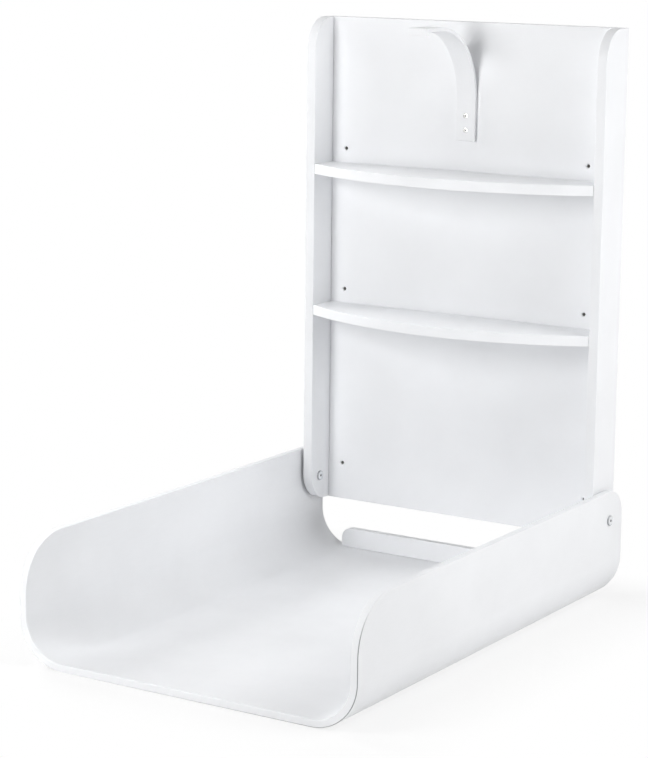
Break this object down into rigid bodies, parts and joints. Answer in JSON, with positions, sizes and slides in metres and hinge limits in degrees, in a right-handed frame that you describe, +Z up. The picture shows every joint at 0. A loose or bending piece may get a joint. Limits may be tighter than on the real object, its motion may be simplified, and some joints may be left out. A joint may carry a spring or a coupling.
{
  "type": "fold-down changing station",
  "caption": "Wall-hung changing station: a shallow shelf unit with bowed shelves, a bent plywood tray that folds down on side pivots, and a springy bent catch that holds it shut.",
  "frame": {"origin": "middle of the back panel's rear face, on the wall", "axes": "+X to the right of someone facing the unit, +Y into the wall, +Z up"},
  "size_m": [0.6058, 0.839, 0.947],
  "materials": {
    "white_board": "satin white lacquer on board",
    "white_bent_ply": "satin white laminate on bent plywood, pale ply line at the cut edges",
    "beech_dowel": "bare wood",
    "nickel_screw": "nickel plated",
    "zinc_steel": "zinc plated",
    "nylon_spacer": "matte"
  },
  "bodies": {
    "shelf_unit": {"back_panel": "white_board", "left_side": "white_board", "right_side": "white_board", "upper_shelf": "white_board", "lower_shelf": "white_board", "catch_foot": "white_bent_ply", "panel_dowel_left_lower": "beech_dowel", "panel_dowel_left_middle": "beech_dowel", "panel_dowel_left_upper": "beech_dowel", "upper_shelf_dowel_left_front": "beech_dowel", "upper_shelf_dowel_left_rear": "beech_dowel", "lower_shelf_dowel_left_front": "beech_dowel", "lower_shelf_dowel_left_rear": "beech_dowel", "panel_dowel_right_lower": "beech_dowel", "panel_dowel_right_middle": "beech_dowel", "panel_dowel_right_upper": "beech_dowel", "upper_shelf_dowel_right_front": "beech_dowel", "upper_shelf_dowel_right_rear": "beech_dowel", "lower_shelf_dowel_right_front": "beech_dowel", "lower_shelf_dowel_right_rear": "beech_dowel", "catch_screw_lower": "nickel_screw", "catch_screw_upper": "nickel_screw", "pivot_sleeve_left": "zinc_steel", "pivot_bolt_left": "zinc_steel", "pivot_sleeve_right": "zinc_steel", "pivot_bolt_right": "zinc_steel", "pivot_spacer_left": "nylon_spacer", "pivot_spacer_right": "nylon_spacer"},
    "tray": {"tray_shell": "white_bent_ply", "rear_lip": "white_board", "lip_dowel_left": "beech_dowel", "lip_dowel_middle": "beech_dowel", "lip_dowel_right": "beech_dowel"},
    "catch": {"catch_tongue": "white_bent_ply", "catch_hook": "white_bent_ply"}
  },
  "joints": [
    {"name": "tray_fold", "type": "hinge", "parent": "shelf_unit", "child": "tray", "pos_m": [0, -0.05, -0.37898], "axis": [-1, 0, 0], "range_deg": [0, 90.8]},
    {"name": "catch_lift", "type": "hinge", "parent": "shelf_unit", "child": "catch", "pos_m": [0, -0.0233, 0.29648], "axis": [-1, 0, 0], "range_deg": [0, 3], "stiffness_Nm_per_rad": 50}
  ]
}
